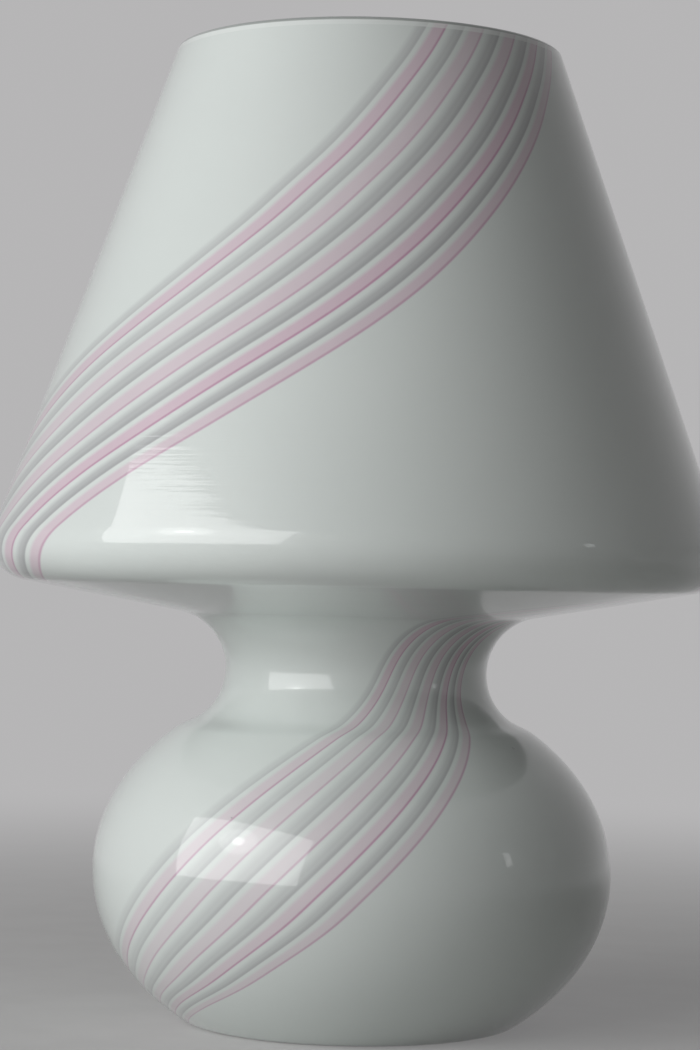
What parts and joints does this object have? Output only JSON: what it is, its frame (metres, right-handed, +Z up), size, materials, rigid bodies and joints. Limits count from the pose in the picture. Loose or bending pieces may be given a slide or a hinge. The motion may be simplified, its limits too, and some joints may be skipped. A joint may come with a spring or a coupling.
{
  "type": "table lamp",
  "caption": "Mushroom table lamp in one blown opal glass body with a spiralling grey and pink stripe band, a sprung neck fitting, a screw lampholder and a clear bulb.",
  "frame": {"origin": "centre of the ground foot, on the surface that the lamp stands on", "axes": "+Z up along the lamp's axis, +Y towards the rear where the lead hole is, +X to the right seen from the front"},
  "size_m": [0.2492, 0.2492, 0.33],
  "materials": {
    "opal_glass": "opaque white cased glass with grey and pink canes, glossy",
    "grommet_rubber": "soft black rubber",
    "zinc_steel": "pressed steel, zinc plated",
    "silicone": "translucent white silicone",
    "spring_steel": "hardened spring strip",
    "rivet_aluminium": "plain aluminium",
    "nipple_brass": "turned brass, slightly tarnished",
    "holder_plastic": "moulded ivory thermoset",
    "screw_steel": "zinc plated screws",
    "porcelain": "white porcelain",
    "contact_brass": "stamped brass",
    "cap_aluminium": "rolled aluminium sheet",
    "black_vitrite": "black moulded glass",
    "tip_solder": "tinned contact",
    "clear_glass": "thin clear glass",
    "stem_glass": "clear lead glass",
    "lead_nickel": "fine wire",
    "tungsten": "coiled tungsten wire"
  },
  "bodies": {
    "root": {"glass_body": "opal_glass", "lead_grommet": "grommet_rubber", "neck_bracket": "zinc_steel", "arm_sleeve_1": "silicone", "arm_sleeve_2": "silicone", "arm_sleeve_3": "silicone", "spring_leg_1": "spring_steel", "spring_leg_2": "spring_steel", "spring_leg_3": "spring_steel", "leg_sleeve_1": "silicone", "leg_sleeve_2": "silicone", "leg_sleeve_3": "silicone", "leg_rivets": "rivet_aluminium", "threaded_nipple": "nipple_brass", "nipple_nuts": "nipple_brass", "lock_washer": "spring_steel", "nipple_bushing": "holder_plastic", "holder_cap": "holder_plastic", "nipple_grub_screw": "screw_steel", "holder_insert": "porcelain", "centre_terminal": "contact_brass", "side_terminal": "contact_brass", "terminal_screws": "screw_steel", "shell_screws": "screw_steel", "contact_spring": "spring_steel", "screw_shell": "contact_brass", "holder_shell": "holder_plastic"},
    "contact": {"centre_contact": "contact_brass"},
    "bulb": {"bulb_cap": "cap_aluminium", "cap_insulator": "black_vitrite", "tip_contact": "tip_solder", "bulb_glass": "clear_glass", "glass_stem": "stem_glass", "filament_leads": "lead_nickel", "filament_supports": "lead_nickel", "filament": "tungsten"}
  },
  "joints": [
    {"name": "contact_travel", "type": "slide", "parent": "root", "child": "contact", "axis": [0, 0, 1], "range_m": [0, 0.0025], "deforming": ["contact_spring"]},
    {"name": "bulb_screw", "type": "hinge", "parent": "contact", "child": "bulb", "pos_m": [0, 0, 0.2], "axis": [0, 0, 1], "range_deg": [0, 247]}
  ],
  "couplings": [
    {"joint": "contact_travel", "follows": "bulb_screw", "m_per_rad": 0.00057757}
  ]
}
